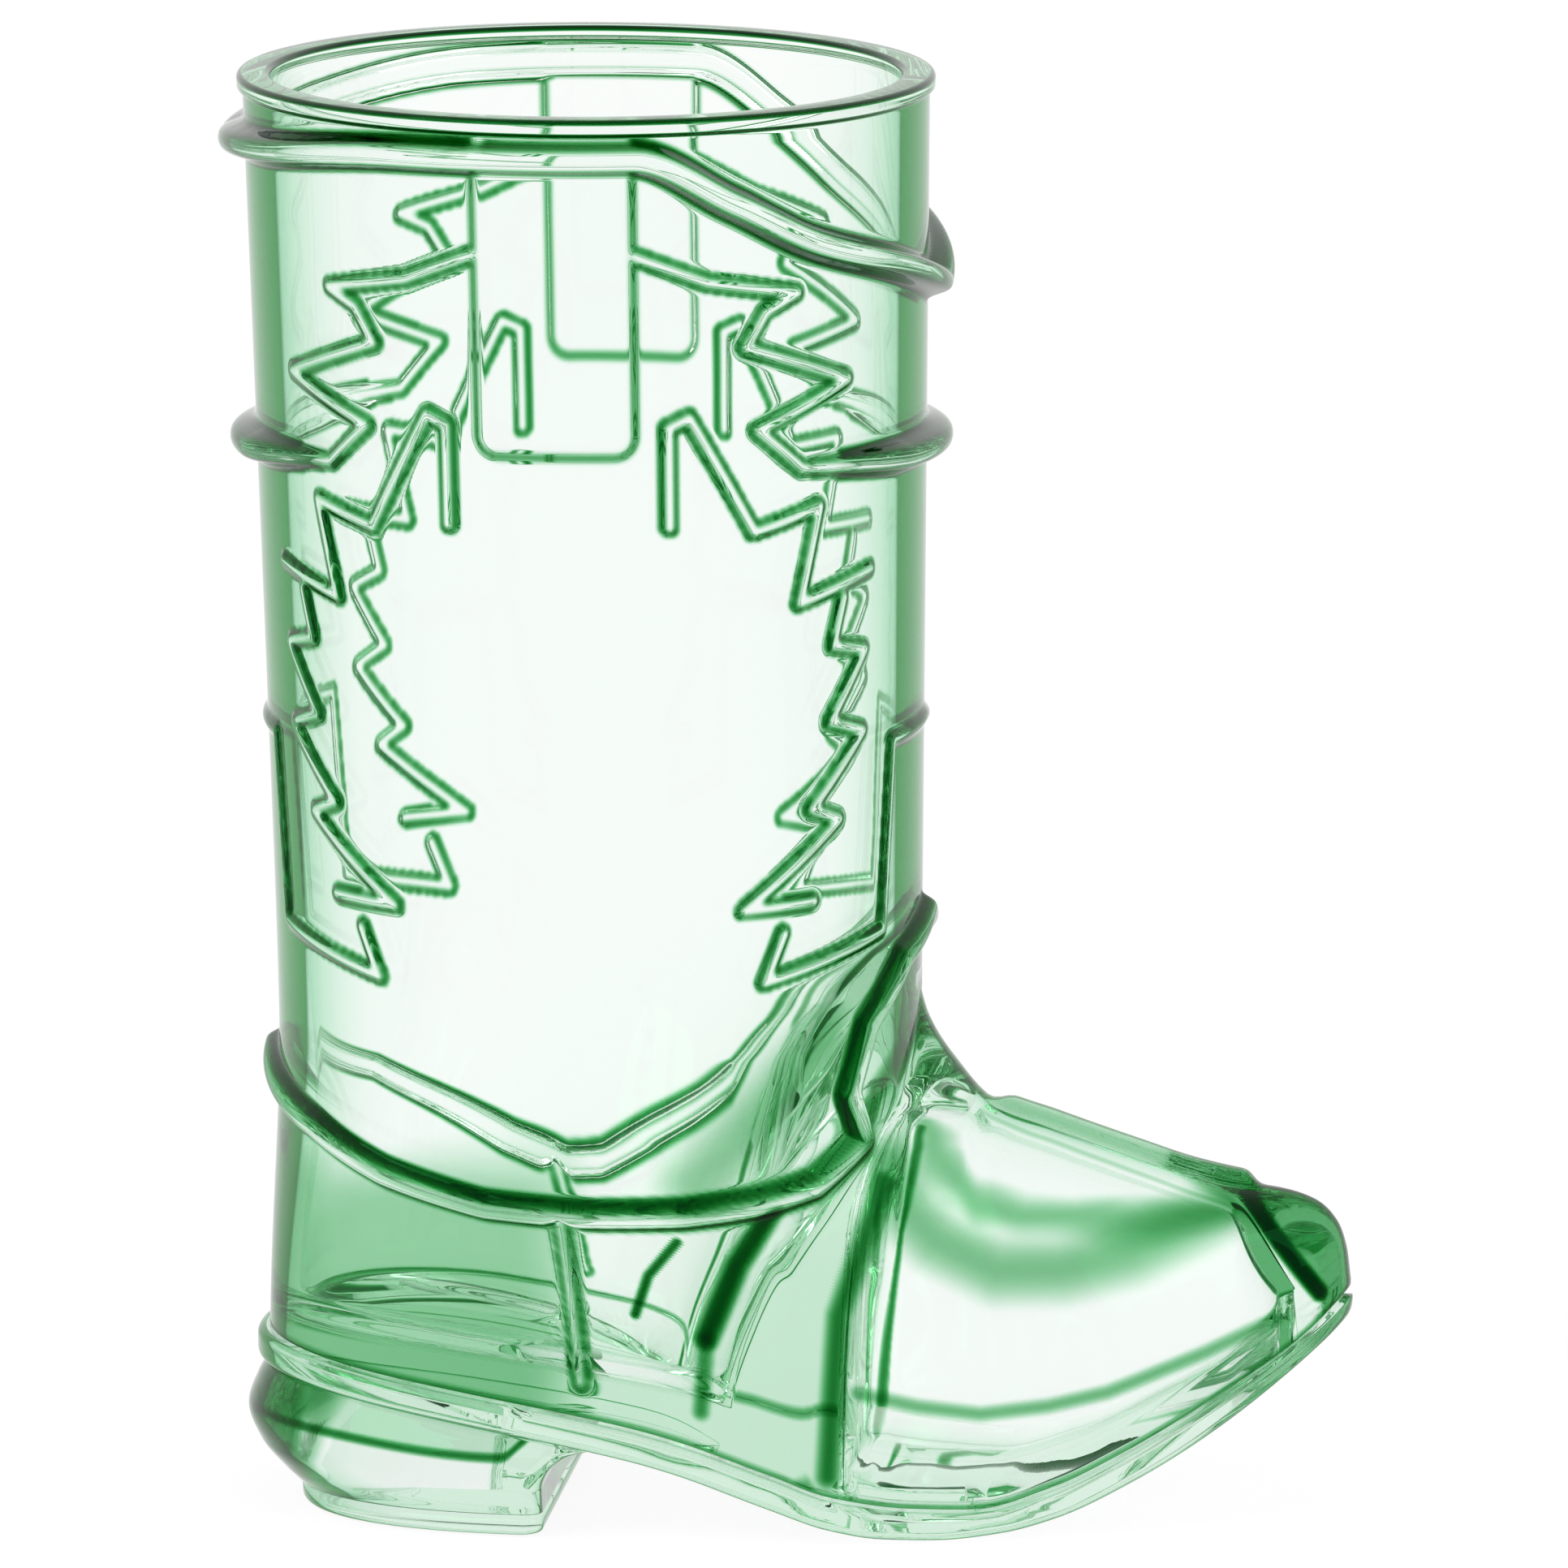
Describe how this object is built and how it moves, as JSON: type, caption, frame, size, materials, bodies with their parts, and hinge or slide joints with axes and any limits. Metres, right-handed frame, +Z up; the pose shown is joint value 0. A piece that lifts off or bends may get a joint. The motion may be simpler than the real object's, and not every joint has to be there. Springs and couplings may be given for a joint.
{
  "type": "boot-shaped drinking cup",
  "caption": "See-through green plastic drinking cup in the shape of a western boot, with raised stitch ornament, a hollow toe and a stacked heel.",
  "frame": {"origin": "bottom centre of the cup's box, on the ground that it stands on", "axes": "+Z up along the leg, +X from the heel towards the toe, Y across the cup"},
  "size_m": [0.1196, 0.0772, 0.152],
  "materials": {
    "body_plastic": "clear tinted, moulded gloss",
    "sole_plastic": "clear tinted, moulded gloss",
    "heel_plastic": "clear tinted, moulded gloss",
    "lift_plastic": "clear tinted, slightly scuffed"
  },
  "bodies": {
    "root": {"boot_body": "body_plastic", "outsole": "sole_plastic", "heel_block": "heel_plastic", "heel_lift": "lift_plastic"}
  },
  "joints": []
}
